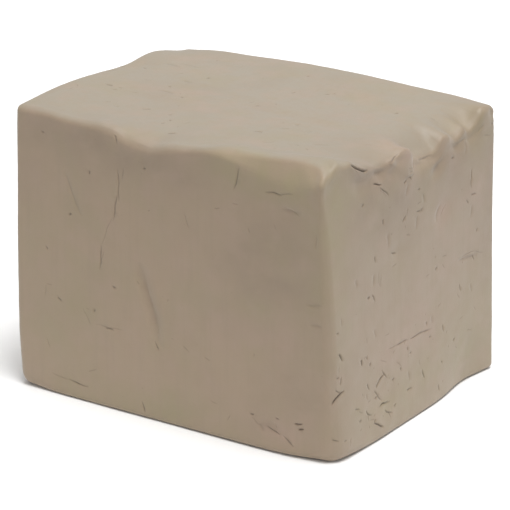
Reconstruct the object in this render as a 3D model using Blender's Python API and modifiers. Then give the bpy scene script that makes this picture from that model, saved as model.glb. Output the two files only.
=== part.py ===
"""A block of moist modelling clay, as it stands once its bag is off.

The block is one solid lump. It was cut square, and then it slumped a little: its edges are soft,
its top swells, its corners lean, and the cut end is ragged along its upper edge. It stands on a
flat underside. Units are metres, +Z is up, the long side runs along X, and the origin is the
middle of the underside.
"""

import bmesh
import bpy
from mathutils import Vector

# Driving dimensions
BLOCK_LENGTH = 0.218        # along X, between the two cut ends
BLOCK_DEPTH = 0.168         # along Y, front to back
BLOCK_HEIGHT = 0.164        # along Z
EDGE_SOFTNESS = 0.013       # from an edge to where its face turns flat
FOOT_SOFTNESS = 0.007       # the same on the foot, which the block's weight presses tighter
CAGE_STEP = 0.038           # the widest cell of the cage between the soft edges
SMOOTHING_LEVELS = 2
UNDERSIDE_SHARE = -0.999    # a point this low, as a share of the half-height, is on the underside

# The clay itself
CLAY_COLOUR = (0.371, 0.302, 0.235, 1.0)
CLAY_ROUGHNESS = 0.82

# How far each corner leans, as (side along X, Y, Z) and its push along X, Y, Z
CORNER_LEANS = {
    "front left foot": ((-1, -1, -1), (0.0030, -0.0035, 0.0)),
    "front right foot": ((1, -1, -1), (-0.0010, 0.0025, 0.0)),
    "back right foot": ((1, 1, -1), (0.0030, 0.0050, 0.0)),
    "front left shoulder": ((-1, -1, 1), (0.0030, 0.0015, 0.0015)),
    "front right shoulder": ((1, -1, 1), (-0.0050, -0.0040, -0.0010)),
    "back left shoulder": ((-1, 1, 1), (0.0, 0.0, 0.0015)),
    "back right shoulder": ((1, 1, 1), (0.0, -0.0010, -0.0025)),
}

# Soft swells and dents: where the middle is, as shares of the half-sizes from the block's centre,
# how far it reaches along X, Y and Z, and how far it pushes the clay at its middle
SWELLS = {
    "swollen left rim": ((-0.95, -0.35, 1.0), (0.030, 0.060, 0.040), (0.0, 0.0, 0.0040)),
    "hump at the back left": ((-0.80, 0.75, 1.0), (0.030, 0.030, 0.040), (0.0, 0.0, 0.0025)),
    "blunt back left corner": ((-1.0, 1.0, 0.6), (0.025, 0.025, 0.090), (0.0060, -0.0060, -0.0010)),
    "swollen back rim": ((0.15, 1.0, 1.0), (0.070, 0.030, 0.040), (0.0, 0.0010, 0.0035)),
    "pressed front rim": ((-0.12, -1.0, 1.0), (0.030, 0.022, 0.022), (0.0, -0.0020, -0.0040)),
    "shaved near corner": ((0.75, -1.0, 1.0), (0.045, 0.016, 0.016), (0.0, 0.0040, -0.0030)),
    "first bite of the end rim": ((1.0, -0.45, 1.0), (0.018, 0.020, 0.022), (-0.0030, 0.0, -0.0050)),
    "second bite of the end rim": ((1.0, 0.08, 1.0), (0.018, 0.022, 0.024), (-0.0030, 0.0, -0.0080)),
    "blunt near foot": ((1.0, -1.0, -1.0), (0.012, 0.012, 0.030), (-0.0020, 0.0020, 0.0)),
    "dent in the far foot": ((1.0, 0.60, -0.95), (0.020, 0.022, 0.020), (-0.0040, 0.0, 0.0)),
}


def clear_scene():
    """Removes whatever objects the scene starts with."""
    for old in list(bpy.data.objects):
        bpy.data.objects.remove(old, do_unlink=True)


def clay_material():
    """Matt, moist, warm grey-buff clay."""
    material = bpy.data.materials.new("clay")
    material.use_nodes = True
    shader = material.node_tree.nodes["Principled BSDF"]
    shader.inputs["Base Color"].default_value = CLAY_COLOUR
    shader.inputs["Roughness"].default_value = CLAY_ROUGHNESS
    shader.inputs["Metallic"].default_value = 0.0
    return material


def cage_lines(size, low_softness, high_softness):
    """Where the cage is cut along one side of the box: beside both edges, and evenly between."""
    low = -size / 2 + low_softness
    high = size / 2 - high_softness
    cells = max(1, round((high - low) / CAGE_STEP))
    return [low + (high - low) * step / cells for step in range(cells + 1)]


def cut_box():
    """A sharp box with its middle at the origin, cut into the cage's cells."""
    cage = bmesh.new()
    bmesh.ops.create_cube(cage, size=1.0)
    bmesh.ops.scale(cage, vec=(BLOCK_LENGTH, BLOCK_DEPTH, BLOCK_HEIGHT), verts=cage.verts)
    lines = (
        cage_lines(BLOCK_LENGTH, EDGE_SOFTNESS, EDGE_SOFTNESS),
        cage_lines(BLOCK_DEPTH, EDGE_SOFTNESS, EDGE_SOFTNESS),
        cage_lines(BLOCK_HEIGHT, FOOT_SOFTNESS, EDGE_SOFTNESS),
    )
    for axis, places in enumerate(lines):
        across = Vector((0.0, 0.0, 0.0))
        across[axis] = 1.0
        for place in places:
            everything = cage.verts[:] + cage.edges[:] + cage.faces[:]
            bmesh.ops.bisect_plane(cage, geom=everything, plane_co=across * place, plane_no=across)
    return cage


def lean(share):
    """The push of the leaning corners at a point, whose shares of the half-sizes are given."""
    push = Vector((0.0, 0.0, 0.0))
    for corner, corner_push in CORNER_LEANS.values():
        weight = 1.0
        for side, value in zip(corner, share):
            weight *= (1.0 + side * value) / 2.0
        push += weight * Vector(corner_push)
    return push


def swelling(point, half):
    """The push of all swells and dents at a point: each fades with the square of its distance."""
    push = Vector((0.0, 0.0, 0.0))
    for middle, reach, swell_push in SWELLS.values():
        away = [(point[i] - middle[i] * half[i]) / reach[i] for i in range(3)]
        push += 2.0 ** -sum(value * value for value in away) * Vector(swell_push)
    return push


def slump(cage):
    """Moves the cage's points as the clay has settled. The underside stays flat."""
    half = Vector((BLOCK_LENGTH, BLOCK_DEPTH, BLOCK_HEIGHT)) / 2
    for vert in cage.verts:
        share = [vert.co[i] / half[i] for i in range(3)]
        push = lean(share) + swelling(vert.co, half)
        if share[2] < UNDERSIDE_SHARE:
            push.z = 0.0
        vert.co += push


def stand_on_origin(block):
    """Moves the block's mesh so that the middle of its underside is at the origin."""
    view = bpy.context.evaluated_depsgraph_get()
    smooth = block.evaluated_get(view).to_mesh()
    middle = Vector((0.0, 0.0, 0.0))
    for axis in range(3):
        places = [vert.co[axis] for vert in smooth.vertices]
        middle[axis] = min(places) if axis == 2 else (min(places) + max(places)) / 2
    for vert in block.data.vertices:
        vert.co -= middle


def clay_block(collection):
    """The whole block: a cut box, slumped, and smoothed with Subdivision Surface."""
    cage = cut_box()
    slump(cage)
    mesh = bpy.data.meshes.new("clay_block")
    cage.to_mesh(mesh)
    cage.free()
    mesh.materials.append(clay_material())
    mesh.shade_smooth()
    block = bpy.data.objects.new("clay_block", mesh)
    collection.objects.link(block)
    smoothing = block.modifiers.new("smoothing", "SUBSURF")
    smoothing.levels = SMOOTHING_LEVELS
    smoothing.render_levels = SMOOTHING_LEVELS
    stand_on_origin(block)
    return block


def main():
    clear_scene()
    collection = bpy.data.collections.new("modelling_clay_block")
    bpy.context.scene.collection.children.link(collection)
    clay_block(collection)


main()
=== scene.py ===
# %% [markdown]
# # A block of moist modelling clay
# Potters and sculptors buy clay as a block in a bag. Out of the bag it is one solid lump, cut
# square and then slumped a little under its own weight. There are no parts to put together, so
# the whole lesson is about one surface: how a plain box becomes a believable lump of clay, with
# soft edges, a ragged rim, creases, cracks and pits, and what a matt, moist skin looks like.
#
# The frame comes first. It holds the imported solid, whose place and size this surface keeps.

import math

import bmesh
import bpy
import numpy as np
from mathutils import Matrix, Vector


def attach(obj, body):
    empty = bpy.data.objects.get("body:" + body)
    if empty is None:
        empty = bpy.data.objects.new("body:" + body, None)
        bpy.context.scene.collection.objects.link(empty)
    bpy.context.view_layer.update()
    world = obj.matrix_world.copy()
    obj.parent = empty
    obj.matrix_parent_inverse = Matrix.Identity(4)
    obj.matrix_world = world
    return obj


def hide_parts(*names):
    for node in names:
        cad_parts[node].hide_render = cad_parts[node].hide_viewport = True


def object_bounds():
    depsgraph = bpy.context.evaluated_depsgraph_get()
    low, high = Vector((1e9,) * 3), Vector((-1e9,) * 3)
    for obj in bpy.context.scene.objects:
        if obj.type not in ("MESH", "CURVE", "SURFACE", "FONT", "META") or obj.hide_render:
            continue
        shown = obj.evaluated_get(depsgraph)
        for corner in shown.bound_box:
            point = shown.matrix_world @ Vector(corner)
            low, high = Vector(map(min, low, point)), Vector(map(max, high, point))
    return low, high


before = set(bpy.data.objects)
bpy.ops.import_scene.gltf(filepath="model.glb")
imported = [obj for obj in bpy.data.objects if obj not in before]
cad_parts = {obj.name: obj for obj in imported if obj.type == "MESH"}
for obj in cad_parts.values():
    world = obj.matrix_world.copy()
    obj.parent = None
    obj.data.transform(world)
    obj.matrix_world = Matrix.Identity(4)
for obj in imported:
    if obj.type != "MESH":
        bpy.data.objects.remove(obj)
cad_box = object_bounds()
cad_low, cad_high = (np.array(corner) for corner in cad_box)
print("CAD box, mm:", np.round((cad_high - cad_low) * 1000, 1))

# %% [markdown]
# ## The cut block under the slump
# The clay bulges past the block that the wire cut. Taking the bulges off the frame's box gives
# the sharp, straight block that everything else starts from. Lengths are in metres, and the
# small ones are written as millimetres times MM, because a potter thinks in millimetres.

# %% Size of the cut block
MM = 0.001
BULGES = np.array([0.3, 7.3, 4.7]) * MM
block = cad_high - cad_low - BULGES
half = block / 2
print("cut block, mm:", np.round(block / MM, 1))


# %% [markdown]
# ## A bell-shaped reach
# Clay takes a push softly: the middle of a dent moves most, and the push fades smoothly around
# it. One bell-shaped weight serves every such push.

# %% Bell-shaped weight
def nearness(points, middle, reach):
    """1 at the middle, one half at the reach: two to the power of minus the squared distance,
    where each axis is measured in its own reach. Middle and reach are in mm."""
    away = (points - np.array(middle) * MM) / (np.array(reach) * MM)
    return np.exp2(-(away ** 2).sum(axis=-1))


# %% [markdown]
# ## Soft edges
# A wire cuts a crisp edge, and then handling rounds it. The foot stays tighter, because the
# block's weight presses it flat. A bevel would give one radius everywhere. Here the radius is a
# function of the place, so that the edge can be worn wide in one spot and crisp in the next.

# %% How wide each stretch of edge is rounded
EDGE_RADIUS = 4.2
FOOT_RADIUS = 2.8
FOOT_FADE = 40.0
LEAST_RADIUS = 1.5
# Where the edge differs: middle and reach in mm from the block's middle, and the extra radius
WORN_EDGES = {
    "rubbed front rim": ((-24, -84, 82), (16, 24, 24), 3.0),
    "crisp front rim": ((72, -84, 82), (34, 24, 24), -2.4),
    "crisp end rim": ((109, -10, 82), (24, 60, 24), -1.6),
    "back half of the end rim": ((109, 70, 82), (24, 16, 24), -0.8),
    "near upright": ((109, -84, 0), (24, 24, 90), 1.6),
    "pinched near corner": ((109, -84, 82), (16, 16, 16), -3.2),
    "blunt far upright": ((-109, 84, 0), (40, 40, 200), 9.0),
    "left foot corner": ((-109, -84, -82), (16, 16, 22), 5.0),
    "near foot corner": ((109, -84, -82), (20, 20, 24), 5.0),
}


def edge_radius(flat):
    """The foot's radius, growing to the edge's radius within the fade above the foot, plus the
    extra radius of each worn stretch times its nearness, and never under the least radius."""
    grown = np.clip((flat[..., 2] + half[2]) / (FOOT_FADE * MM), 0, 1)
    radius = FOOT_RADIUS + (EDGE_RADIUS - FOOT_RADIUS) * grown
    for middle, reach, extra in WORN_EDGES.values():
        radius = radius + extra * nearness(flat, middle, reach)
    return np.maximum(radius, LEAST_RADIUS) * MM


# %% [markdown]
# ## Leaning corners and swollen rims
# A block that was dropped and stacked isn't square any more. Each corner leans its own way, and
# the rims swell or sag. A corner's lean is shared out over the whole block, so the faces stay
# nearly flat. A swell is local.

# %% How the corners lean and where the rims swell
CORNER_LEANS = {
    "front left foot": ((-1, -1, -1), (2.5, -4.0, 0.0)),
    "front right foot": ((1, -1, -1), (-1.6, 2.0, 0.0)),
    "back right foot": ((1, 1, -1), (2.5, 4.5, 0.0)),
    "front left shoulder": ((-1, -1, 1), (3.5, 1.5, 1.5)),
    "front right shoulder": ((1, -1, 1), (-5.0, -4.0, -1.0)),
    "back left shoulder": ((-1, 1, 1), (0.0, 0.0, 1.5)),
    "back right shoulder": ((1, 1, 1), (0.0, -1.0, -2.0)),
}
SWELLS = {
    "swollen left rim": ((-104, -32, 82), (30, 46, 40), (0.0, 0.0, 4.0)),
    "hump at the back left": ((-100, 44, 82), (26, 16, 40), (0.0, 0.0, 4.5)),
    "blunt back left shoulder": ((-109, 84, 82), (24, 24, 30), (1.5, -1.5, -1.0)),
    "swollen back rim": ((10, 84, 82), (75, 30, 40), (0.0, 1.0, 3.0)),
    "back rim beside the hump": ((-80, 84, 82), (14, 22, 22), (0.0, 0.0, 1.3)),
    "far foot drawn in": ((109, 55, -80), (20, 18, 20), (-4.0, 0.0, 0.0)),
    "near corner pinched in": ((109, -84, 82), (20, 20, 44), (-2.6, -1.0, 0.0)),
    "near corner pressed down": ((109, -84, 82), (7, 7, 20), (0.0, 0.0, -1.4)),
    "near foot pressed in": ((109, -84, -82), (18, 7, 44), (-2.2, 2.6, 0.0)),
}
FLAT_FOOT = 10.0
# the least length that anything is divided by
TINY = 1e-12


def settled(flat):
    """Carries points of the sharp block to the settled clay, and gives the way out of the clay.
    The core is the block less the radius on every side. A point goes to its nearest core point
    plus one radius, which rounds the edges. Then come the leans, each weighted by how near the
    point is to its corner along X, Y and Z, and the swells. The foot stays on its plane."""
    radius = edge_radius(flat)[..., None]
    core = np.clip(flat, radius - half, half - radius)
    outward = flat - core
    outward = outward / np.maximum(np.linalg.norm(outward, axis=-1, keepdims=True), TINY)
    points = core + radius * outward
    share = points / half
    push = np.zeros_like(points)
    for corner, lean in CORNER_LEANS.values():
        weight = np.prod((1 + np.array(corner) * share) / 2, axis=-1)
        push += weight[..., None] * np.array(lean) * MM
    for middle, reach, swell in SWELLS.values():
        push += nearness(points, middle, reach)[..., None] * np.array(swell) * MM
    push[..., 2] *= np.clip((points[..., 2] + half[2]) / (FLAT_FOOT * MM), 0, 1)
    return points + push, outward


# %% [markdown]
# ## The two rims of the top
# The long front rim and the cut end's rim got the worst of the handling. The front rim sank where
# something rubbed it, and towards the near corner it was pinched up, with a slanting facet below.
# The end's rim broke down by up to a finger's width. A few knots along each rim say how far it
# rises or sinks at that place. A curve is laid through them, and its bends are rounded, because
# clay has no kinks of that size.

# %% Curve through knots
CURVE_REACH, CURVE_STEP = 140.0, 0.5


def rounded_curve(along, knots, softness):
    """Straight lines through the knots, averaged with a bell-shaped weight whose half-width is
    the softness in mm. Along is in mm too."""
    fine = np.arange(-CURVE_REACH, CURVE_REACH, CURVE_STEP)
    lines = np.interp(fine, *zip(*knots))
    window = np.arange(-3 * softness, 3 * softness + CURVE_STEP / 2, CURVE_STEP)
    bell = np.exp2(-(window / softness) ** 2)
    padded = np.pad(lines, len(window) // 2, mode="edge")
    curve = np.convolve(padded, bell / bell.sum(), mode="valid")
    return np.interp(along, fine, curve[:len(fine)])


def smooth_step(value, low, high):
    """0 below low, 1 above high, and the smooth cubic 3t^2 - 2t^3 between them."""
    t = np.clip((value - low) / (high - low), 0, 1)
    return t * t * (3 - 2 * t)


# %% Rise of the front rim and its facet
# place along X in mm, then rise in mm
FRONT_RISE = (
    (-109, 0.2), (-100, 0.4), (-88, 0.9), (-72, 0.9), (-60, 0.8), (-53, 1.3), (-46, 2.2),
    (-36, 1.8), (-29, -0.6), (-20, -2.2), (-9, -4.2), (3, -1.6), (17, 0.4), (27, 2.2), (36, 3.4),
    (45, 3.6), (60, 3.8), (73, 4.6), (82, 4.8), (90, 4.8), (97, 4.4), (101, 2.2), (105, -0.8),
    (109, -2.8),
)
# place along X in mm, then how far the facet's upper edge is set back, and how tall the facet is
FACET_BACK = (
    (26, 0.0), (42, 4.2), (60, 4.4), (80, 7.4), (91, 9.8), (97, 9.4), (101, 4.8), (105, 0.6),
    (107, 0.0),
)
FACET_TALL = ((26, 3.0), (44, 5.0), (54, 7.0), (66, 10.5), (82, 11.5), (93, 10.0), (102, 7.0))
FRONT_REACH, FACET_REACH = 13.0, 20.0
FACET_BLUR = 0.09
RIM_SOFTNESS = 1.6

# %% Rise of the end's rim
# place along Y in mm, then rise in mm
END_RISE = (
    (-84, 0.6), (-80, 4.0), (-75, 2.8), (-72, 2.0), (-66, 3.4), (-61, 0.2), (-53, -3.0),
    (-38, -5.6), (-33, -5.8), (-27, -5.2), (-20, -4.4), (-14, -1.8), (-8, -3.8), (-3, -10.0),
    (4, -12.0), (13, -12.6), (18, -12.0), (22, -12.4), (26, -4.6), (31, -4.8), (38, -9.0),
    (42, -10.8), (47, -7.6), (51, -5.2), (55, -10.2), (59, -7.6), (63, -5.8), (67, 0.6),
    (71, 0.8), (75, 0.0), (79, -1.0), (82, -1.2), (84, -1.2),
)
END_REACH, END_DROP = 12.0, 13.0
END_INWARD = 0.30


def rims_worn(points):
    """Wears the two rims. A rim's rise fades with a bell of the distance behind its face and of
    the depth below the top. The facet sets the front face back: the set-back grows in a straight
    line from the facet's foot to the rim, with max(0, x) softened to log(1 + exp(x)). The end's
    rim also moves inward, by a share of how far it sank. The second result is how freshly shaved
    each point is: the set-back in mm, at most 1."""
    along_x, along_y = points[..., 0] / MM, points[..., 1] / MM
    behind = (points[..., 1] + half[1]) / MM
    inside = (half[0] - points[..., 0]) / MM
    below = (half[2] - points[..., 2]) / MM
    front = rounded_curve(along_x, FRONT_RISE, RIM_SOFTNESS)
    front = front * np.exp2(-(behind / FRONT_REACH) ** 2 - (below / FRONT_REACH) ** 2)
    end = rounded_curve(along_y, END_RISE, RIM_SOFTNESS)
    end = end * np.exp2(-(inside / END_REACH) ** 2 - (below / END_DROP) ** 2)
    tall = rounded_curve(along_x, FACET_TALL, RIM_SOFTNESS)
    facet = FACET_BLUR * np.logaddexp(0, (1 - below / tall) / FACET_BLUR)
    facet = facet * np.exp2(-(behind / FACET_REACH) ** 2)
    set_back = facet * rounded_curve(along_x, FACET_BACK, RIM_SOFTNESS)
    moved = points.copy()
    moved[..., 0] += END_INWARD * np.minimum(end, 0) * MM
    moved[..., 1] += set_back * MM
    moved[..., 2] += (front + end) * MM
    return moved, np.clip(set_back, 0, 1)


# %% [markdown]
# ## Lumps
# No face of the block is flat. It has broad waves from handling and smaller ones from the bag. A
# table of random heights, one for each corner of a lattice of little cubes, smoothly blended
# between the corners, gives waves of a chosen size that are the same at every run.

# %% Smooth random waves
LATTICE = 48


def waves(points, size, seed):
    """Heights from -1 to 1 that change over about size mm. Each point blends the random heights
    of its lattice cube's eight corners, with smooth_step weights along the three axes."""
    table = np.random.default_rng(seed).uniform(-1, 1, (LATTICE, LATTICE, LATTICE))
    place = points / (size * MM) + LATTICE / 2
    cell = np.floor(place).astype(int)
    blend = smooth_step(place - cell, 0, 1)
    height = np.zeros(points.shape[:-1])
    for corner in np.ndindex(2, 2, 2):
        weight = np.prod(np.where(corner, blend, 1 - blend), axis=-1)
        near = (cell + corner) % LATTICE
        height += weight * table[near[..., 0], near[..., 1], near[..., 2]]
    return height


def layered_waves(points, layers):
    """The sum of several layers of waves. A layer is its size in mm, its height and its seed."""
    return sum(height * waves(points, size, seed) for size, height, seed in layers)


# %% [markdown]
# ## Marks on the skin
# The bag's folds leave creases, the clay's own grit leaves scratches, and bending it opens
# hairline cracks. All of these are one thing: a path that wanders over a face, with a section
# that is pressed in along it. So a mark is where it starts on its face, which way it heads, how
# long, wide and deep it is, and how much it bends on the way.

# %% Where a mark runs
FACES = {
    # face: the axis it faces along, its side, and the two axes that it is measured along
    "front": (1, -1, (0, 2)),
    "back": (1, 1, (0, 2)),
    "left": (0, -1, (1, 2)),
    "end": (0, 1, (1, 2)),
    "top": (2, 1, (0, 1)),
}
PATH_POINTS = 14
# the most that a path wanders off its heading in degrees, and how many times it may change its mind
WANDER, SWAYS = 12.0, 5


def mark_path(start, heading, length, bend, seed):
    """Points of a wandering path on a face, in mm. The heading turns evenly by bend degrees from
    end to end, a smooth random wander is added to it, and the equal steps are summed up."""
    steps = np.linspace(0, 1, PATH_POINTS)
    sway = np.random.default_rng(seed).uniform(-1, 1, SWAYS)
    wander = WANDER * np.interp(steps, np.linspace(0, 1, SWAYS), sway)
    angle = np.radians(heading + bend * (steps - 0.5) + wander)
    stride = np.stack([np.cos(angle), np.sin(angle)], axis=-1) * length / (PATH_POINTS - 1)
    return np.array(start, float) + np.vstack([np.zeros(2), np.cumsum(stride[:-1], axis=0)])


def path_distance(flat, path):
    """How far each flat point is from a path, and where along it, from 0 to 1, the nearest spot
    is. A point is measured against every straight piece of the path at once."""
    start, step = path[:-1], np.diff(path, axis=0)
    from_start = flat[:, None, :] - start[None]
    part = (from_start * step).sum(axis=-1) / (step ** 2).sum(axis=-1)
    part = np.clip(part, 0, 1)
    away = np.linalg.norm(from_start - part[..., None] * step, axis=-1)
    nearest = away.argmin(axis=1)
    rows = np.arange(len(flat))
    return away[rows, nearest], (nearest + part[rows, nearest]) / len(step)


# %% [markdown]
# ## The marks themselves
# Each face has its own list: first the marks that give this block its character, placed one by
# one, and then small ticks and pits, strewn by a seeded random draw. A crack is narrow and deep,
# and a gash or a split is one that opened. A hairline is barely there, a crease is wide and
# shallow, and a groove is wider still.

# %% Marks placed one by one
CRACK, HAIRLINE, CREASE, GROOVE = "crack", "hairline", "crease", "groove"
PIT, GASH, SPLIT = "pit", "gash", "split"
# kind: half-width and depth in mm, and how much painted shade darkens its floor from 0 to 1
SECTIONS = {
    CRACK: (0.42, 0.42, 0.50),
    HAIRLINE: (0.32, 0.18, 0.28),
    CREASE: (0.95, 0.30, 0.16),
    GROOVE: (3.2, 1.30, 0.14),
    PIT: (0.55, 0.38, 0.50),
    GASH: (0.52, 0.80, 0.75),
    SPLIT: (0.62, 1.30, 0.95),
}
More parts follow.
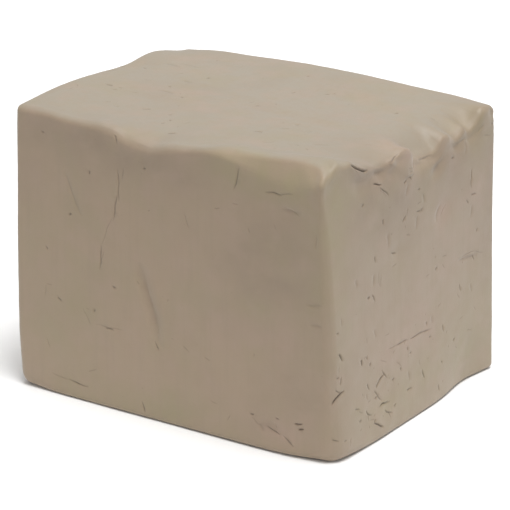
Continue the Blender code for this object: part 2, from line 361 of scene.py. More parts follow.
# start on the face in mm, heading in degrees, length in mm, bend in degrees
MARKS = {
    "front": [
        (HAIRLINE, (-28, 63), -92, 8, 0), (CRACK, (-32, 61), -93, 19, -6),
        (CRACK, (-32.6, 46), -99, 16, 8), (HAIRLINE, (-36, 33), -114, 20, 0),
        (CRACK, (-45, 15), -97, 15, 6), (HAIRLINE, (-43, 12), -112, 8, 0),
        (CREASE, (-71, 52), -60, 27, 8), (GROOVE, (-18.5, 10), -77, 50, 8),
        (CRACK, (-8.5, -34), -58, 6, 40), (HAIRLINE, (14, 46), -74, 10, 4),
        (HAIRLINE, (47, 57), 0, 4, 0), (CRACK, (52, 75), -106, 12, -10),
        (CRACK, (69, 66.5), 2, 12, -4), (HAIRLINE, (78, 66.5), 6, 11, 8),
        (CREASE, (80, 60), -4, 15, -12), (HAIRLINE, (84, 61), -14, 9, 0), (CREASE, (104, 52), -95, 9, 0),
        (HAIRLINE, (-50, -33), 4, 20, 6), (CRACK, (-43, -33.5), 2, 6, 0),
        (HAIRLINE, (-59, -25), -57, 11, 10), (PIT, (-85, 5.5), -45, 1, 0), (PIT, (-77, -23), -27, 2, 0),
        (PIT, (-37, -8), 0, 1, 0), (HAIRLINE, (-86, -17), -95, 7, 0), (HAIRLINE, (-86, -49), -68, 6, 0),
        (HAIRLINE, (-83, -70), 2, 12, 0), (CRACK, (-71, -71), -2, 15, 0),
        (HAIRLINE, (-56, -63), 30, 7, 0), (CRACK, (-18, -72), -76, 7, 30), (PIT, (56, -62), 0, 1, 0),
        (HAIRLINE, (56, -63), -42, 7, 0), (GASH, (83.5, -61.5), 10, 6, 10),
        (GASH, (86, -64.5), 18, 4, 0), (CRACK, (65, -67), -22, 10, 20), (CRACK, (76, -70), -38, 9, 0),
        (CREASE, (61, -66), -66, 6, 20), (CREASE, (94, 10), 10, 11, 0), (CREASE, (96, -1), 6, 8, 0),
        (PIT, (-34, 78), -63, 2, 0),
    ],
    "end": [
        (SPLIT, (-62, 81), 4, 17, 10), (GASH, (-40.5, 70.4), -23, 7, 0),
        (CRACK, (-36, 66.8), -43, 11, -10), (HAIRLINE, (-36, 66.8), -82, 3, 0),
        (CRACK, (-25, 80), 10, 10, 0), (HAIRLINE, (0.4, 81), -104, 17, 0),
        (HAIRLINE, (-3.6, 66), -162, 5, 0), (HAIRLINE, (-4.4, 70), 176, 5, 0),
        (HAIRLINE, (-4.8, 67.6), 184, 4, 0), (CRACK, (-7.4, 64.6), -60, 3, 0),
        (CRACK, (-11, 63), -150, 3, 0), (CREASE, (-9, 60), -110, 7, 20), (PIT, (1.5, 54), 0, 1, 0),
        (HAIRLINE, (0, 45.4), 0, 4, 0), (CRACK, (-0.5, 41.4), -12, 5, 0), (CREASE, (6, 50), -76, 6, 0),
        (CREASE, (0, 39), -96, 8, 0), (CREASE, (6, 79), -2, 15, 0), (CREASE, (47, 74), -12, 7, 0),
        (CREASE, (52.5, 72), -98, 11, 0), (CRACK, (57, 51), -91, 12, 0), (CRACK, (56, 35), -9, 6, 0),
        (PIT, (51.6, 33), -45, 2, 0), (CREASE, (57, 29), -92, 8, 0), (CREASE, (64, 73), -6, 6, 0),
        (CREASE, (77, 72), -4, 6, 0), (HAIRLINE, (70, 66), -4, 8, 0), (CREASE, (21, 29), 66, 11, -90),
        (HAIRLINE, (25, 31), 44, 8, 0), (PIT, (-33.4, 46), -90, 2, 0), (CRACK, (-11, 42.4), -138, 5, 0),
        (HAIRLINE, (-9.6, 46), -104, 4, 0), (CREASE, (-29, 37), -84, 8, 0),
        (CRACK, (-25.6, 25), -22, 6, 20), (HAIRLINE, (-11, 31), -18, 4, 0),
        (CRACK, (-41.7, 28), -90, 4, 0), (CREASE, (-59.6, 20), -76, 5, 0),
        (HAIRLINE, (-38.4, 18), -80, 10, 34), (HAIRLINE, (-36.4, 16), -97, 8, -34),
        (CREASE, (-43, 18), -90, 7, 0), (PIT, (-48.3, 5.7), 0, 1, 0), (CRACK, (-45, 6.5), -62, 6, -40),
        (HAIRLINE, (25, 7.2), -12, 6, 0), (HAIRLINE, (25.5, 2.4), -46, 4, 0),
        (CREASE, (43, -1), -8, 21, -26), (HAIRLINE, (46, 0), -6, 15, -20),
        (HAIRLINE, (60, -0.6), -18, 11, 0), (CRACK, (58.6, -2.6), -60, 4, 0),
        (CRACK, (44, -15.6), -76, 5, 0), (CREASE, (56.2, -19), -74, 6, 0),
        (HAIRLINE, (60, -34.6), -60, 4, 0), (HAIRLINE, (20.4, -22.3), 32, 4, 0),
        (CREASE, (14, -25), -80, 5, 0), (HAIRLINE, (44, -37.5), 10, 4, 0),
        (CRACK, (25.6, -34.2), -75, 5, 0), (HAIRLINE, (53, -47.6), -16, 6, 0),
        (HAIRLINE, (-31, -30), -5, 9, 0), (CRACK, (-23, -30.8), -4, 13, 0),
        (CRACK, (-8.6, -31.6), -2, 23, 4), (HAIRLINE, (-74.3, 3.6), -84, 6, 0),
        (PIT, (-78, -5), 0, 1, 0), (CREASE, (-43.3, -14), -78, 5, 0),
        (HAIRLINE, (-51.1, -16), -90, 4, 0), (GASH, (-76.6, -17), -62, 6, 0),
        (GASH, (-56.4, -27.4), -76, 4, 0), (HAIRLINE, (-38.2, -34), -24, 7, 0),
        (HAIRLINE, (-22.4, -40.8), -40, 7, 0), (HAIRLINE, (1, -47.6), -70, 4, 0),
        (CRACK, (-36.6, -41), -54, 8, 0), (GASH, (-34.2, -43.6), -150, 10, 20),
        (PIT, (-26, -50), 0, 1, 0), (CRACK, (4.1, -54.6), -70, 7, 0),
        (CREASE, (-10.4, -50.6), -68, 6, 0), (CRACK, (-51.2, -43.4), -64, 5, 0),
        (HAIRLINE, (-52, -49), -90, 4, 0), (SPLIT, (-72, -40.2), -154, 13, 10),
        (CRACK, (-80.2, -37.4), -42, 6, 0), (CRACK, (-74.8, -31), -98, 5, 0),
        (PIT, (-78.4, -31), 0, 1, 0), (HAIRLINE, (-77, -24.4), -90, 4, 0),
        (CRACK, (-44.6, -50.2), -43, 12, 0), (CRACK, (-36.4, -60.4), -12, 8, 30),
        (CRACK, (-39.4, -62), -2, 9, -20), (CRACK, (-34.4, -65.4), -24, 9, 30),
        (HAIRLINE, (-31.4, -67), -70, 6, 0), (CRACK, (-52.8, -58.4), -38, 8, 60),
        (HAIRLINE, (-50.6, -60.6), -80, 6, 60), (GASH, (-45.4, -69), -32, 11, 10),
        (HAIRLINE, (-49.6, -65.6), -20, 6, 0), (CRACK, (-12, -61.8), -6, 6, 0),
        (CRACK, (21.4, -70.2), -76, 5, 0), (CRACK, (-63.4, -54), -26, 5, 0),
        (CRACK, (-84, -67), -9, 6, 0),
    ],
    "top": [
        (HAIRLINE, (-78, 36), 20, 15, 0), (PIT, (-86, -25), 0, 3, 0), (HAIRLINE, (-69, -24), 37, 5, 0),
        (HAIRLINE, (-78, 0), 30, 5, 0), (HAIRLINE, (-70, -48), 40, 4, 0), (PIT, (-46, -42), 34, 3, 0),
        (PIT, (-9, -67), 27, 3, 0), (PIT, (29, -38), 11, 4, 0), (HAIRLINE, (52, -24), 35, 5, 0),
        (HAIRLINE, (44, -52), 50, 7, 40), (HAIRLINE, (36, -27), 23, 8, 0), (PIT, (6, 32), 45, 1, 0),
        (PIT, (26, 43), 45, 1, 0), (PIT, (74, 34), 45, 1, 0), (HAIRLINE, (91, 43), 18, 4, 0),
        (HAIRLINE, (91, -23), 50, 5, 0), (PIT, (-78, -29), 45, 1, 0), (HAIRLINE, (-62, -50), 45, 4, 0),
        (CREASE, (-86, 31), 8, 12, 0), (CREASE, (-61, -9), 4, 12, 0), (CREASE, (-62, 16), 4, 8, 0),
        (HAIRLINE, (68, -40), 22, 11, 0), (PIT, (-104, 12), 90, 2, 0), (CREASE, (-105, -10), 80, 15, 0),
    ],
    "back": [
        (CRACK, (-64, 40), -80, 26, 8), (HAIRLINE, (-60, 36), -84, 10, 0),
        (CREASE, (20, 55), -112, 34, 10), (GROOVE, (44, 12), -104, 44, -6),
        (CRACK, (78, -20), -60, 12, 30), (HAIRLINE, (-20, -40), 8, 18, 10),
        (CRACK, (-88, -66), 6, 15, 0), (CRACK, (10, -70), -20, 12, 30),
        (CREASE, (-30, 66), -30, 22, 30), (HAIRLINE, (60, 62), -86, 12, 0),
    ],
    "left": [
        (CRACK, (-40, 20), -20, 24, 10), (HAIRLINE, (10, 30), -12, 30, 6),
        (CRACK, (44, -40), -140, 14, 40), (HAIRLINE, (30, -52), -30, 12, 60),
        (CREASE, (-60, -20), -86, 26, 0), (CRACK, (-12, -58), -48, 12, -50),
        (CREASE, (20, 64), -70, 14, 30), (HAIRLINE, (-70, 50), -96, 12, 0),
    ],
}
print("marks placed by hand:", sum(len(marks) for marks in MARKS.values()))

# %% [markdown]
# The strewn marks are small: ticks like cut hairs, and pinholes where a grain of grit was pulled
# out. The ragged end has the most of them, low down, where the wire tore the clay.

# %% Marks strewn at random
# area, whose first word is its face: how many marks, middle of the area and half its size in
# mm, and the longest mark in mm
STREWN = {
    "front": (22, (0, 0), (96, 70), 6),
    "end": (34, (-14, -40), (60, 32), 6),
    "end, higher": (16, (6, 30), (66, 34), 5),
    "top": (34, (-14, -4), (84, 66), 5),
    "back": (26, (0, 0), (96, 70), 8),
    "left": (34, (0, -10), (72, 62), 7),
    "end, at the foot": (12, (-46, -58), (28, 18), 4),
}
STREWN_BEND = 50
STREWN_SEED = 5


def strewn_marks(draw, count, middle, half_size, longest):
    """Short marks at even random places. Their heading is any, and their length grows with the
    square of an even draw, so most are short. About two in three are hairlines, and the others
    are pits, one millimetre long."""
    places = np.array(middle) + draw.uniform(-1, 1, (count, 2)) * np.array(half_size)
    headings = draw.uniform(-180, 180, count)
    lengths = 1 + (longest - 1) * draw.uniform(0, 1, count) ** 2
    bends = draw.uniform(-STREWN_BEND, STREWN_BEND, count)
    kinds = draw.choice([HAIRLINE, HAIRLINE, PIT], count)
    lengths = np.where(kinds == PIT, 1.0, lengths)
    return list(zip(kinds.tolist(), places.tolist(), headings, lengths, bends))


strewn_draw = np.random.default_rng(STREWN_SEED)
for area, choices in STREWN.items():
    MARKS[area.split(",")[0]] += strewn_marks(strewn_draw, *choices)
print("marks in all:", sum(len(marks) for marks in MARKS.values()))


# %% [markdown]
# ## Pressing the marks in
# Every mark lowers the skin along its path and raises a small lip on both sides, because clay
# that is pushed away has to go somewhere. The mark thins out towards both ends, and its width
# wavers. The same sum gives the painted shade on the floor of the mark, which the finish needs later.

# %% Which points a mark can reach
# in metres: how near its plane a point counts as on a face
ON_FACE = 1e-7
# in mm: how far from a mark its own points are looked for
SEARCH = 6.0


def face_points(flat, face):
    """Which points lie on a face, and where on it they are, in mm along its two axes."""
    axis, side, across = FACES[face]
    on_face = np.flatnonzero(flat[:, axis] * side > half[axis] - ON_FACE)
    return on_face, flat[on_face][:, across] / MM


def each_mark(flat):
    """Goes through the marks one by one. Gives the mark's kind, the numbers of the points close
    to it, how far each of those is from its path in mm, and where along the path, from 0 to 1."""
    for face, marks in MARKS.items():
        on_face, places = face_points(flat, face)
        for number, (kind, start, heading, length, bend) in enumerate(marks):
            path = mark_path(start, heading, length, bend, number)
            low, high = path.min(axis=0) - SEARCH, path.max(axis=0) + SEARCH
            close = np.flatnonzero(((places > low) & (places < high)).all(axis=1))
            away, part = path_distance(places[close], path)
            yield kind, on_face[close], away, part


def nearest_mark(flat):
    """How far each point is from the nearest mark's path in mm, at most the search distance."""
    nearest = np.full(len(flat), SEARCH)
    for _, index, away, _ in each_mark(flat):
        nearest[index] = np.minimum(nearest[index], away)
    return nearest


# %% Depth and painted shade of the marks
# a lip's height as a share of the mark's depth, and its place and width in half-widths of the mark
LIP, LIP_AT, LIP_WIDE = 0.22, 1.9, 0.8
TAPER = 0.3
# the power that narrows the painted shade across a mark's floor
FLOOR_SHADE_FADE = 1.5
# size in mm, height in half-widths of the mark, seed
MARK_WAVES = ((1.3, 0.18, 7), (4.0, 0.25, 8))


def pressed_marks(flat):
    """How far the marks push the skin out, in metres, and how much painted shade lies on their
    floors. The section is a lip, which is a bell to the side, minus a bell of the distance over the
    half-width. Waves make the half-width waver. The taper at both ends is the square root of
    the share of the way into the mark, and a pit has none. The painted shade is a power of the bell."""
    height, mark_shade = np.zeros(len(flat)), np.zeros(len(flat))
    ragged = layered_waves(flat, MARK_WAVES)
    for kind, index, away, part in each_mark(flat):
        wide, deep, floor = SECTIONS[kind]
        share = np.maximum(away - ragged[index] * wide, 0) / wide
        taper = np.sqrt(np.clip(np.minimum(part, 1 - part) / TAPER, 0, 1))
        taper = np.ones_like(taper) if kind == PIT else taper
        bell = np.exp(-share ** 2) * taper
        lip = LIP * np.exp(-((share - LIP_AT) / LIP_WIDE) ** 2) * taper
        height[index] += deep * MM * (lip - bell)
        # painted shade on the floor of the mark
        mark_shade[index] = np.maximum(mark_shade[index], floor * bell ** FLOOR_SHADE_FADE)
    return height, mark_shade


# %% [markdown]
# ## The smeared flap and the finger dents
# On the end's upper rim a thumb pushed a flap of clay down over the cut face. It stands a little
# proud, with a clear step at its right and lower edges, so its outline has corners. The finger
# dents and low swellings around it have none. They are soft ovals.

# %% The flap
# corners of the flap's outline on the end face in mm, clockwise from its upper left
FLAP = np.array([
    (-25, 80), (-24, 88), (1, 88), (-1.6, 75), (-3.5, 66), (-7, 64.4), (-11, 65.2), (-17.5, 71.6),
])
# in mm: how proud the flap stands, and how wide the step at its edge is
FLAP_RISE, FLAP_STEP = 0.9, 1.6


def flap_cover(places):
    """1 inside the flap and 0 outside it. The signed distance from a convex outline is the
    largest of the distances from its sides, and a smooth step runs over it."""
    sides = np.roll(FLAP, -1, axis=0) - FLAP
    outward = np.stack([-sides[:, 1], sides[:, 0]], axis=-1)
    outward = outward / np.linalg.norm(outward, axis=1, keepdims=True)
    away = ((places[:, None, :] - FLAP) * outward).sum(axis=-1).max(axis=1)
    return 1 - smooth_step(away, -FLAP_STEP / 2, FLAP_STEP / 2)


# %% Patches and dents, listed one by one
# middle on the face in mm, half-sizes in mm, turn in degrees, height in mm, edge sharpness
PATCHES = {
    "end": [
        ((-34, 75.5), (5, 3.4), -10, -1.7, 2),
        ((23, 61.5), (7, 3.4), 33, -1.7, 2),
        ((-22, 60), (18, 10), 0, 0.4, 3),
        ((27, 34), (8, 6), 30, -0.9, 2),
        ((31, 78), (6, 4), 0, 0.8, 2),
        ((-52, 72), (9, 5), -10, -0.8, 2),
        ((46, 72), (6, 4), -30, -0.6, 2),
        ((-40, -50), (22, 16), -35, -0.6, 2),
        ((-76, -40), (7, 12), 0, -0.5, 2),
        ((-20, 24), (5, 4), 0, -0.6, 2),
        ((52, -4), (12, 4), -10, -0.5, 2),
    ],
    "front": [
        ((94, 71), (9, 5), -21, -0.9, 2),
        ((86, 58), (12, 3), -4, -0.5, 2),
        ((67, -68), (7, 4), -10, -1.4, 2),
        ((78, -66), (16, 8), -20, -0.6, 2),
        ((-10, -20), (16, 22), -70, -0.3, 2),
        ((-60, 20), (30, 40), 0, 0.4, 2),
        ((40, 0), (40, 40), 0, -0.5, 2),
    ],
    "top": [
        ((-20, 6), (62, 5), -12, -0.5, 3),
        ((30, -6), (46, 4), -4, -0.5, 3),
        ((-66, 50), (12, 3), 50, -0.3, 3),
        ((0, 40), (50, 26), 0, 0.4, 2),
        ((84, 10), (12, 20), 0, 0.4, 2),
    ],
    "back": [
        ((-50, 10), (36, 30), 0, -0.6, 2),
        ((60, -30), (26, 20), 20, 0.5, 2),
        ((80, 62), (14, 7), -30, -0.9, 2),
    ],
    "left": [
        ((20, 30), (30, 24), 20, -0.6, 2),
        ((-40, -40), (24, 16), -30, 0.5, 2),
        ((40, -50), (14, 9), 30, -0.9, 3),
        ((-8, 70), (16, 7), 0, -0.9, 3),
    ],
}
# size in mm, height in half-sizes of the patch, seed
PATCH_WAVES = ((5.0, 0.10, 21),)


def pressed_patches(flat):
    """How far the patches and the flap push the skin out, in metres. A patch is
    1 / (1 + r^(2 k)), where r is the distance from its middle in its own half-sizes, with waves
    added, and k is its edge sharpness."""
    height = np.zeros(len(flat))
    for face, patches in PATCHES.items():
        on_face, places = face_points(flat, face)
        ragged = layered_waves(flat[on_face], PATCH_WAVES)
        for middle, size, turn, rise, sharp in patches:
            angle = math.radians(turn)
            turned = np.array([[math.cos(angle), -math.sin(angle)], [math.sin(angle), math.cos(angle)]])
            away = (places - np.array(middle)) @ turned / np.array(size)
            distance = np.linalg.norm(away, axis=1) + ragged
            height[on_face] += rise * MM / (1 + np.maximum(distance, 0) ** (2 * sharp))
    on_end, places = face_points(flat, "end")
    height[on_end] += FLAP_RISE * MM * flap_cover(places)
    return height


# %% [markdown]
# ## The whole skin
# Now the pieces of the formula are put together: settle the point, wear the rims, and then push
# it along its way out by the waves, the patches and the marks. The underside stays flat. Clay
# that dries turns grey, and the same grey paints the sheen of the top and the cut ends, so the
# same step works out how dry each point is: the top and the two cut ends dry first and carry
# the painted sheen, and the freshly shaved facet is still moist.

# %% Lumps, and dryness with painted sheen
# size in mm, height in mm, seed
SKIN_WAVES = ((46.0, 0.55, 11), (19.0, 0.26, 12), (8.0, 0.10, 13), (3.6, 0.035, 14))
# where the skin is lumpier: middle and reach in mm, then size and height of the lumps, and seed
LUMPY_PLACES = (
    ((109, 0, 82), (13, 200, 11), 6.0, 0.75, 15),
    ((109, 0, 82), (9, 200, 9), 2.6, 0.22, 18),
    ((-30, -84, 82), (60, 8, 9), 7.0, 0.45, 16),
    ((109, -20, -60), (20, 50, 30), 4.6, 0.20, 17),
)
# how much of the top's grey, of drying and of painted sheen, a cut end gets, and how much of it the
# shaved facet has lost
END_DRYNESS_AND_SHEEN, FRESH = 0.34, 0.6
# how squarely a point faces a way, from where it starts to count to where it counts in full
FACES_OUT, FACES_FRONT = (0.25, 0.95), (0.6, 0.95)
DRY_AND_SHEEN_WAVES = ((24.0, 0.12, 31), (7.0, 0.05, 32))


def dryness_and_sheen(flat, outward):
    """How dry the skin is, from 0 to 1, which also paints the grey sheen of the top and the cut
    ends: most where it faces up, and part of that on the two cut ends. Waves move the border up
    and down a little."""
    border = layered_waves(flat, DRY_AND_SHEEN_WAVES)
    up = smooth_step(outward[:, 2] + border, *FACES_OUT)
    end = END_DRYNESS_AND_SHEEN * smooth_step(np.abs(outward[:, 0]) + border, *FACES_OUT)
    return np.maximum(up, end)


# %% [markdown]
# Clay is never one colour. Water collects in it, dust settles on it, and two batches fold into
# each other. Besides the fine clouds that the finish adds, this block has some larger stains of
# its own, each with a soft edge: damp and dark, which also paints shade below the rims and in
# the hollows, olive, and rosy.

# %% Stains, listed one by one
# stain: middle and reach in mm from the block's middle, and strength
STAINS = {
    # damp stains that also paint shade below the front and end rims and in the dents
    "damp_and_shade": [
        ((109, -28, 57), (22, 28, 18), 0.8), ((109, -33, 70), (12, 12, 8), 0.8),
        ((109, 40, 66), (12, 36, 16), 0.9), ((109, -52, 74), (10, 14, 7), 0.5),
        ((76, -84, 28), (26, 20, 24), 0.7), ((-60, -84, 72), (46, 12, 9), 0.6),
        ((0, -84, 66), (30, 12, 9), 0.5), ((88, -84, -44), (18, 16, 22), 0.4),
        ((68, -84, -69), (12, 8, 5), 0.9), ((109, 80, 20), (12, 16, 80), 0.6),
        ((109, 66, 50), (12, 16, 16), 0.35), ((-52, -12, 82), (54, 44, 14), 0.14),
    ],
    "olive": [
        ((109, -76, 40), (12, 9, 40), 0.7), ((50, -84, 74), (18, 10, 7), 0.8),
        ((84, -84, 70), (18, 12, 8), 0.8), ((62, -84, 0), (14, 10, 6), 0.6),
        ((-20, -84, -74), (52, 12, 8), 0.6), ((109, -14, -62), (12, 40, 12), 0.6),
        ((109, 70, 70), (12, 14, 12), 0.6), ((109, 60, -50), (12, 30, 30), 0.7),
        ((-70, -84, -20), (24, 12, 30), 0.3),
    ],
    "rosy": [
        ((109, -11, 77), (10, 9, 7), 1.0), ((109, 28, 34), (12, 9, 8), 0.6),
        ((109, 66, 40), (12, 12, 16), 0.4), ((109, -18, -30), (12, 24, 10), 0.5),
        ((74, -84, -67), (18, 10, 7), 0.7), ((60, -84, -14), (30, 10, 8), 0.4),
        ((109, 10, -10), (14, 40, 30), 0.3), ((50, 10, 82), (30, 24, 12), 0.12),
        ((-30, -10, 82), (40, 14, 12), 0.12), ((-20, 84, 10), (40, 12, 30), 0.5),
    ],
}
STAIN_RAGGED = 0.7
STAIN_WAVES = ((9.0, 0.7, 41), (3.0, 0.3, 42))


def stained(flat, name):
    """How strong a stain is at each point, from 0 to 1: the nearness to each of its places times
    the strength, and waves break up the border."""
    amount = sum(strength * nearness(flat, middle, reach) for middle, reach, strength in STAINS[name])
    return np.clip(amount * (1 + STAIN_RAGGED * layered_waves(flat, STAIN_WAVES)), 0, 1)


# %% All of it together
def clay_skin(flat):
    """Points of the sharp block carried to the finished skin, how much painted shade each one's
    mark puts on it, and how dry each one is, which also paints the grey sheen of the top."""
    points, outward = settled(flat)
    points, fresh = rims_worn(points)
    height, mark_shade = pressed_marks(flat)
    height = height + pressed_patches(flat) + layered_waves(flat, SKIN_WAVES) * MM
    for middle, reach, size, rise, seed in LUMPY_PLACES:
        height = height + rise * MM * waves(flat, size, seed) * nearness(flat, middle, reach)
    above = np.clip((flat[:, 2] + half[2]) / (FOOT_RADIUS * MM), 0, 1)
    points = points + outward * (height * above)[:, None]
    points[:, 2] = np.maximum(points[:, 2], -half[2])
    # the shaved facet loses part of its grey of drying and painted sheen
    lost = FRESH * fresh * smooth_step(-outward[:, 1], *FACES_FRONT)
    return points, mark_shade, dryness_and_sheen(flat, outward) * (1 - lost)


# %% [markdown]
# ## The sheet that becomes the skin
# The sharp block's six faces are grids of two parameters each, and they share the points along
# their edges. A crack half a millimetre wide needs small cells, but only where it runs. So the
# cells near a mark are split in two, three times over, while the box is still sharp and flat.
# After that, all points go through the formula at once.

# %% Six grids of the sharp block
# in mm: a cell's size in the middle of a face and in the band along its edges, and that band
CELL, EDGE_CELL, EDGE_BAND = 2.5, 0.85, 6.0


def grid_line(length):
    """Places across one side of the block: close together in a band at both ends, where the
    edges are rounded, and wider in between. The length is in metres."""
    band = np.linspace(0, EDGE_BAND * MM, round(EDGE_BAND / EDGE_CELL) + 1)
    inner = np.linspace(EDGE_BAND * MM, length - EDGE_BAND * MM, round(length / MM / CELL) + 1)
    return np.concatenate([band[:-1], inner, (length - band[:-1])[::-1]]) - length / 2


def block_grids():
    """Points and four-sided cells of the sharp block. A face's points are its two parameters
    along two axes and its own side along the third."""
    lines = [grid_line(length) for length in block]
    points, cells, first = [], [], 0
    for axis in range(3):
        u_axis, v_axis = (other for other in range(3) if other != axis)
        for side in (-1, 1):
            u, v = np.meshgrid(lines[u_axis], lines[v_axis], indexing="ij")
            face = np.zeros(u.shape + (3,))
            face[..., u_axis], face[..., v_axis], face[..., axis] = u, v, side * half[axis]
            number = first + np.arange(u.size).reshape(u.shape)
            ring = [number[:-1, :-1], number[1:, :-1], number[1:, 1:], number[:-1, 1:]]
            facing = side if axis != 1 else -side
            points.append(face.reshape(-1, 3))
            cells.append(np.stack(ring[::facing], axis=-1).reshape(-1, 4))
            first += u.size
    return np.concatenate(points), np.concatenate(cells)


def read_points(mesh):
    """A mesh's points as one array."""
    points = np.empty(len(mesh.vertices) * 3)
    mesh.vertices.foreach_get("co", points)
    return points.reshape(-1, 3)


grid_points, grid_cells = block_grids()
skin = bpy.data.meshes.new("clay_skin")
skin.from_pydata(grid_points.tolist(), [], grid_cells.tolist())
print("grid points:", len(grid_points), "cells:", len(grid_cells))

# %% Split the cells near the marks
# in mm: how near a mark's path a cell is split, the first, second and third time
SPLITS = (2.8, 1.6, 0.95)
SAME_POINT = 0.01

sheet = bmesh.new()
sheet.from_mesh(skin)
bmesh.ops.remove_doubles(sheet, verts=sheet.verts, dist=SAME_POINT * MM)
for reach in SPLITS:
    sheet.verts.index_update()
    sheet.to_mesh(skin)
    close = nearest_mark(read_points(skin)) < reach
    edges = [edge for edge in sheet.edges if close[edge.verts[0].index] and close[edge.verts[1].index]]
    bmesh.ops.subdivide_edges(sheet, edges=edges, cuts=1, use_grid_fill=True)
    print("cells after a split within", reach, "mm:", len(sheet.faces))
sheet.to_mesh(skin)
sheet.free()

# %% [markdown]
# The formula works from the block's middle. The finished skin is then moved, so that it stands
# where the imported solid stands: on the same underside and with its middle over the same spot.

# %% Carry the sheet to the skin and stand it in the frame
flat_points = read_points(skin)
skin_points, skin_mark_shade, skin_dry_and_sheen = clay_skin(flat_points)
skin_low, skin_high = skin_points.min(axis=0), skin_points.max(axis=0)
move = (cad_low + cad_high - skin_low - skin_high) / 2
move[2] = cad_low[2] - skin_low[2]
skin.vertices.foreach_set("co", (skin_points + move).ravel())
# stored amounts: painted shade on the mark floors, dryness with the painted sheen, and the stains, the
# damp one with painted shade
amounts = {"crack": skin_mark_shade, "dry": skin_dry_and_sheen}
amounts.update({stain: stained(flat_points, stain) for stain in STAINS})
for name, amount in amounts.items():
    skin.attributes.new(name, "FLOAT", "POINT").data.foreach_set("value", amount)
    print(name, "on average:", round(float(amount.mean()), 3))
skin.shade_smooth()
skin.update()
clay = bpy.data.objects.new("clay_block_skin", skin)
bpy.context.scene.collection.objects.link(clay)
print("skin, mm:", np.round((skin_high - skin_low) / MM, 1), "moved, mm:", np.round(move / MM, 2))

# %% [markdown]
# ## The finish
# Moist clay is matt with a faint sheen. Its colour is nearly even, but never quite: darker where
# it is damp and greyer where it dries, and the same colours paint shade below the rims and in the
# hollows and a grey sheen on the top. The amounts stored on the skin's points say where it is dry
# or painted with sheen, stained or painted with shade, or cracked with painted shade on the mark's
# floor. Clouds, streaks and specks come from noise on Object coordinates, which are the block's
# own, so the pattern stays put as the view moves.

# %% Helpers for the finish
def node(tree, kind, **inputs):
    """A new shader node with the named inputs set or linked."""
    made = tree.nodes.new(kind)
    for name, value in inputs.items():
        socket = made.inputs[name.replace("_", " ")]
        if isinstance(value, bpy.types.NodeSocket):
            tree.links.new(value, socket)
        else:
            socket.default_value = value
    return made


def noise(tree, place, size, detail=3.0, rough=0.55):
    """Noise whose features are about size mm across, from 0 to 1."""
    made = node(tree, "ShaderNodeTexNoise", Vector=place, Detail=detail, Roughness=rough)
    made.inputs["Scale"].default_value = 1 / (size * MM)
    return made.outputs["Fac"]


def spread(tree, value, low, high, to_low=0.0, to_high=1.0):
    """Stretches a value from low..high to to_low..to_high, clamped."""
    made = tree.nodes.new("ShaderNodeMapRange")
    tree.links.new(value, made.inputs["Value"])
    for name, number in zip(("From Min", "From Max", "To Min", "To Max"), (low, high, to_low, to_high)):
        made.inputs[name].default_value = number
    return made.outputs["Result"]


# a Mix node has sockets for numbers, directions and colours, and these are the ones for colours
MIX_UNDER, MIX_OVER, MIX_RESULT = 6, 7, 2


def tint(tree, amount, under, over):
    """Mixes one colour over another by an amount."""
    made = tree.nodes.new("ShaderNodeMix")
    made.data_type = "RGBA"
    tree.links.new(amount, made.inputs["Factor"])
    for socket, colour in ((made.inputs[MIX_UNDER], under), (made.inputs[MIX_OVER], over)):
        if isinstance(colour, bpy.types.NodeSocket):
            tree.links.new(colour, socket)
        else:
            socket.default_value = (*colour, 1.0)
    return made.outputs[MIX_RESULT]


def stored(tree, name):
    """The amount that was stored on the skin's points under a name."""
    made = node(tree, "ShaderNodeAttribute")
    made.attribute_name = name
    return made.outputs["Fac"]


def plus(tree, first, second):
    """The sum of two amounts, at most 1."""
    made = tree.nodes.new("ShaderNodeMath")
    made.operation, made.use_clamp = "ADD", True
    tree.links.new(first, made.inputs[0])
    tree.links.new(second, made.inputs[1])
    return made.outputs[0]


# %% Colours and grain of moist clay
MOIST_BUFF = (0.333, 0.250, 0.171)
# the dry grey also paints the sheen of the top and the cut ends
DRY_GREY_AND_SHEEN = (0.301, 0.258, 0.198)
# stain: its colour, the size of its clouds in mm and how strong they get
STAIN_FINISH = {
    # the damp colour also paints shade below the rims and in the hollows
    "damp_and_shade": ((0.272, 0.206, 0.144), 38.0, 0.30),
    "olive": ((0.300, 0.246, 0.150), 26.0, 0.45),
    "rosy": ((0.352, 0.254, 0.190), 17.0, 0.40),
}
STREAK, SPECK = (0.300, 0.232, 0.160), (0.200, 0.150, 0.105)
# the painted shade on the floors of the marks
MARK_FLOOR_SHADE = (0.085, 0.060, 0.042)
# a pattern's size in mm, and for the finest two the detail and the roughness of their noise too
STREAK_SIZE, GLOSS_SIZE = 3.4, 9.0
SPECKS, GRAIN = (2.2, 4.0, 0.7), (1.4, 5.0, 0.6)
# how much of the noise counts: from where it starts to where it is full, then the most it gives
CLOUD_RANGE = (0.47, 0.72)
STREAK_RANGE, STREAK_MOST = (0.48, 0.72), 0.4
SPECK_RANGE, SPECK_MOST = (0.66, 0.78), 0.5
STREAK_STRETCH = (1.0, 1.0, 0.07)
GLOSS_RANGE, ROUGHNESS = (0.3, 0.7), (0.50, 0.62)
GRAIN_STRENGTH, GRAIN_DEPTH = 0.35, 0.25
CLAY_IOR = 1.5
SHEEN, SHEEN_ROUGHNESS = 0.20, 0.5


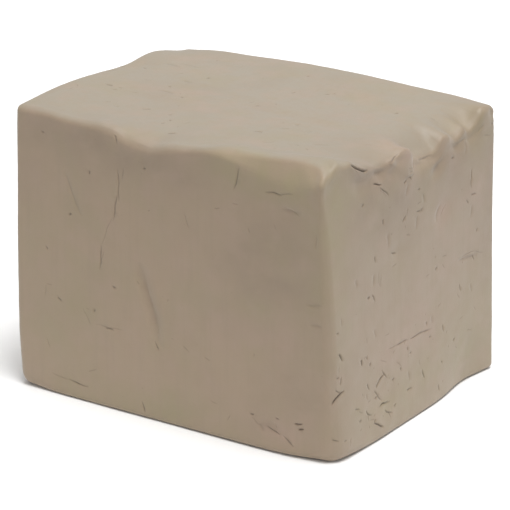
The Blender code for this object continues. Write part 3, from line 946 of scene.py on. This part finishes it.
# %% The moist clay finish
def moist_clay():
    """The clay's skin: moist buff turning to dry grey, which also paints the sheen of the top and
    the cut ends, three stains with their clouds, one of them also painting shade below the rims
    and in the hollows, streaks up and down, specks, painted shade on the mark floors, uneven
    gloss and a fine grain."""
    material = bpy.data.materials.new("moist_clay")
    material.use_nodes = True
    tree = material.node_tree
    shader = tree.nodes["Principled BSDF"]
    place = tree.nodes.new("ShaderNodeTexCoord").outputs["Object"]
    # the grey of drying clay, which also paints the sheen of the top and the cut ends
    colour = tint(tree, stored(tree, "dry"), MOIST_BUFF, DRY_GREY_AND_SHEEN)
    for name, (stain, size, most) in STAIN_FINISH.items():
        clouds = spread(tree, noise(tree, place, size), *CLOUD_RANGE, 0.0, most)
        colour = tint(tree, plus(tree, stored(tree, name), clouds), colour, stain)
    stretched = node(tree, "ShaderNodeMapping", Vector=place, Scale=STREAK_STRETCH).outputs["Vector"]
    streaks = spread(tree, noise(tree, stretched, STREAK_SIZE), *STREAK_RANGE, 0.0, STREAK_MOST)
    colour = tint(tree, streaks, colour, STREAK)
    specks = spread(tree, noise(tree, place, *SPECKS), *SPECK_RANGE, 0.0, SPECK_MOST)
    colour = tint(tree, specks, colour, SPECK)
    # painted shade in the floors of the marks, from the stored crack amount
    colour = tint(tree, stored(tree, "crack"), colour, MARK_FLOOR_SHADE)
    tree.links.new(colour, shader.inputs["Base Color"])
    gloss = spread(tree, noise(tree, place, GLOSS_SIZE), *GLOSS_RANGE, *ROUGHNESS)
    tree.links.new(gloss, shader.inputs["Roughness"])
    grain = node(tree, "ShaderNodeBump", Height=noise(tree, place, *GRAIN), Strength=GRAIN_STRENGTH)
    grain.inputs["Distance"].default_value = GRAIN_DEPTH * MM
    tree.links.new(grain.outputs["Normal"], shader.inputs["Normal"])
    shader.inputs["IOR"].default_value = CLAY_IOR
    shader.inputs["Sheen Weight"].default_value = SHEEN
    shader.inputs["Sheen Roughness"].default_value = SHEEN_ROUGHNESS
    return material


skin.materials.append(moist_clay())
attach(clay, "root")
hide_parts("clay_block")
print("finish nodes:", len(skin.materials[0].node_tree.nodes))

# %% [markdown]
# ## Floor and light
# The block stands on a plain pale floor, under a soft studio light from above and from its end's
# side, so the top is brightest, the end next and the long front last. A second soft box lights
# only the floor behind the block, and a pale surround fills the shadows.

# %% Floor
FLOOR_SIZE = 8.0
FLOOR_GAP = 0.2 * MM
FLOOR_PAINT = (0.90, 0.90, 0.90, 1.0)


def pale_floor():
    """A square floor just under the block."""
    mesh = bpy.data.meshes.new("pale_floor")
    reach = FLOOR_SIZE / 2
    corners = [(-reach, -reach), (reach, -reach), (reach, reach), (-reach, reach)]
    mesh.from_pydata([(x, y, -FLOOR_GAP) for x, y in corners], [], [(0, 1, 2, 3)])
    material = bpy.data.materials.new("pale_floor")
    material.use_nodes = True
    shader = material.node_tree.nodes["Principled BSDF"]
    shader.inputs["Base Color"].default_value = FLOOR_PAINT
    shader.inputs["Roughness"].default_value = 0.9
    shader.inputs["Specular IOR Level"].default_value = 0.0
    mesh.materials.append(material)
    floor = bpy.data.objects.new("pale_floor", mesh)
    bpy.context.scene.collection.objects.link(floor)
    return floor


floor = pale_floor()

# %% Light
SURROUND = 0.54
LIGHT_SPREAD = math.radians(50)
# light: where it hangs and where it aims in metres, its size in metres and its power in watts
SOFT_LIGHTS = {
    "key_light": (Vector((0.53, -0.25, 2.0)), Vector((0.0, 0.0, 0.08)), 1.0, 4.1),
    "back_light": (Vector((-0.62, 0.95, 1.7)), Vector((-0.56, 0.86, 0.0)), 1.2, 3.6),
}


def soft_light(name, place, aim, size, power):
    """A square soft box that faces the aim. The spread keeps its light in a pool."""
    light = bpy.data.lights.new(name, "AREA")
    light.shape, light.size, light.energy = "SQUARE", size, power
    light.spread = LIGHT_SPREAD
    box = bpy.data.objects.new(name, light)
    box.location = place
    box.rotation_euler = (aim - place).to_track_quat("-Z", "Y").to_euler()
    bpy.context.scene.collection.objects.link(box)


world = bpy.data.worlds.new("pale_surround")
world.use_nodes = True
world.node_tree.nodes["Background"].inputs["Color"].default_value = (1.0, 1.0, 1.0, 1.0)
world.node_tree.nodes["Background"].inputs["Strength"].default_value = SURROUND
bpy.context.scene.world = world
for light_name, choices in SOFT_LIGHTS.items():
    soft_light(light_name, *choices)
    print(light_name, "gives", choices[-1], "W")
bpy.context.scene.view_settings.view_transform = "Standard"

# %% [markdown]
# ## Camera
# The block is seen from a little above and from its front right, from far enough away that its
# uprights stay nearly parallel.

# %% Camera
AZIMUTH, ELEVATION = math.radians(34.11), math.radians(20.3)
AIM = Vector((0.0, 0.0, 0.0748))
DISTANCE = 1.263
LENS, SENSOR = 155.3, 36.0

camera_data = bpy.data.cameras.new("camera")
camera_data.lens, camera_data.sensor_width = LENS, SENSOR
camera = bpy.data.objects.new("camera", camera_data)
from_block = Vector((
    math.sin(AZIMUTH) * math.cos(ELEVATION),
    -math.cos(AZIMUTH) * math.cos(ELEVATION),
    math.sin(ELEVATION),
))
camera.location = AIM + from_block * DISTANCE
camera.rotation_euler = (-from_block).to_track_quat("-Z", "Y").to_euler()
bpy.context.scene.collection.objects.link(camera)
bpy.context.scene.camera = camera
print("camera at", [round(value, 3) for value in camera.location])
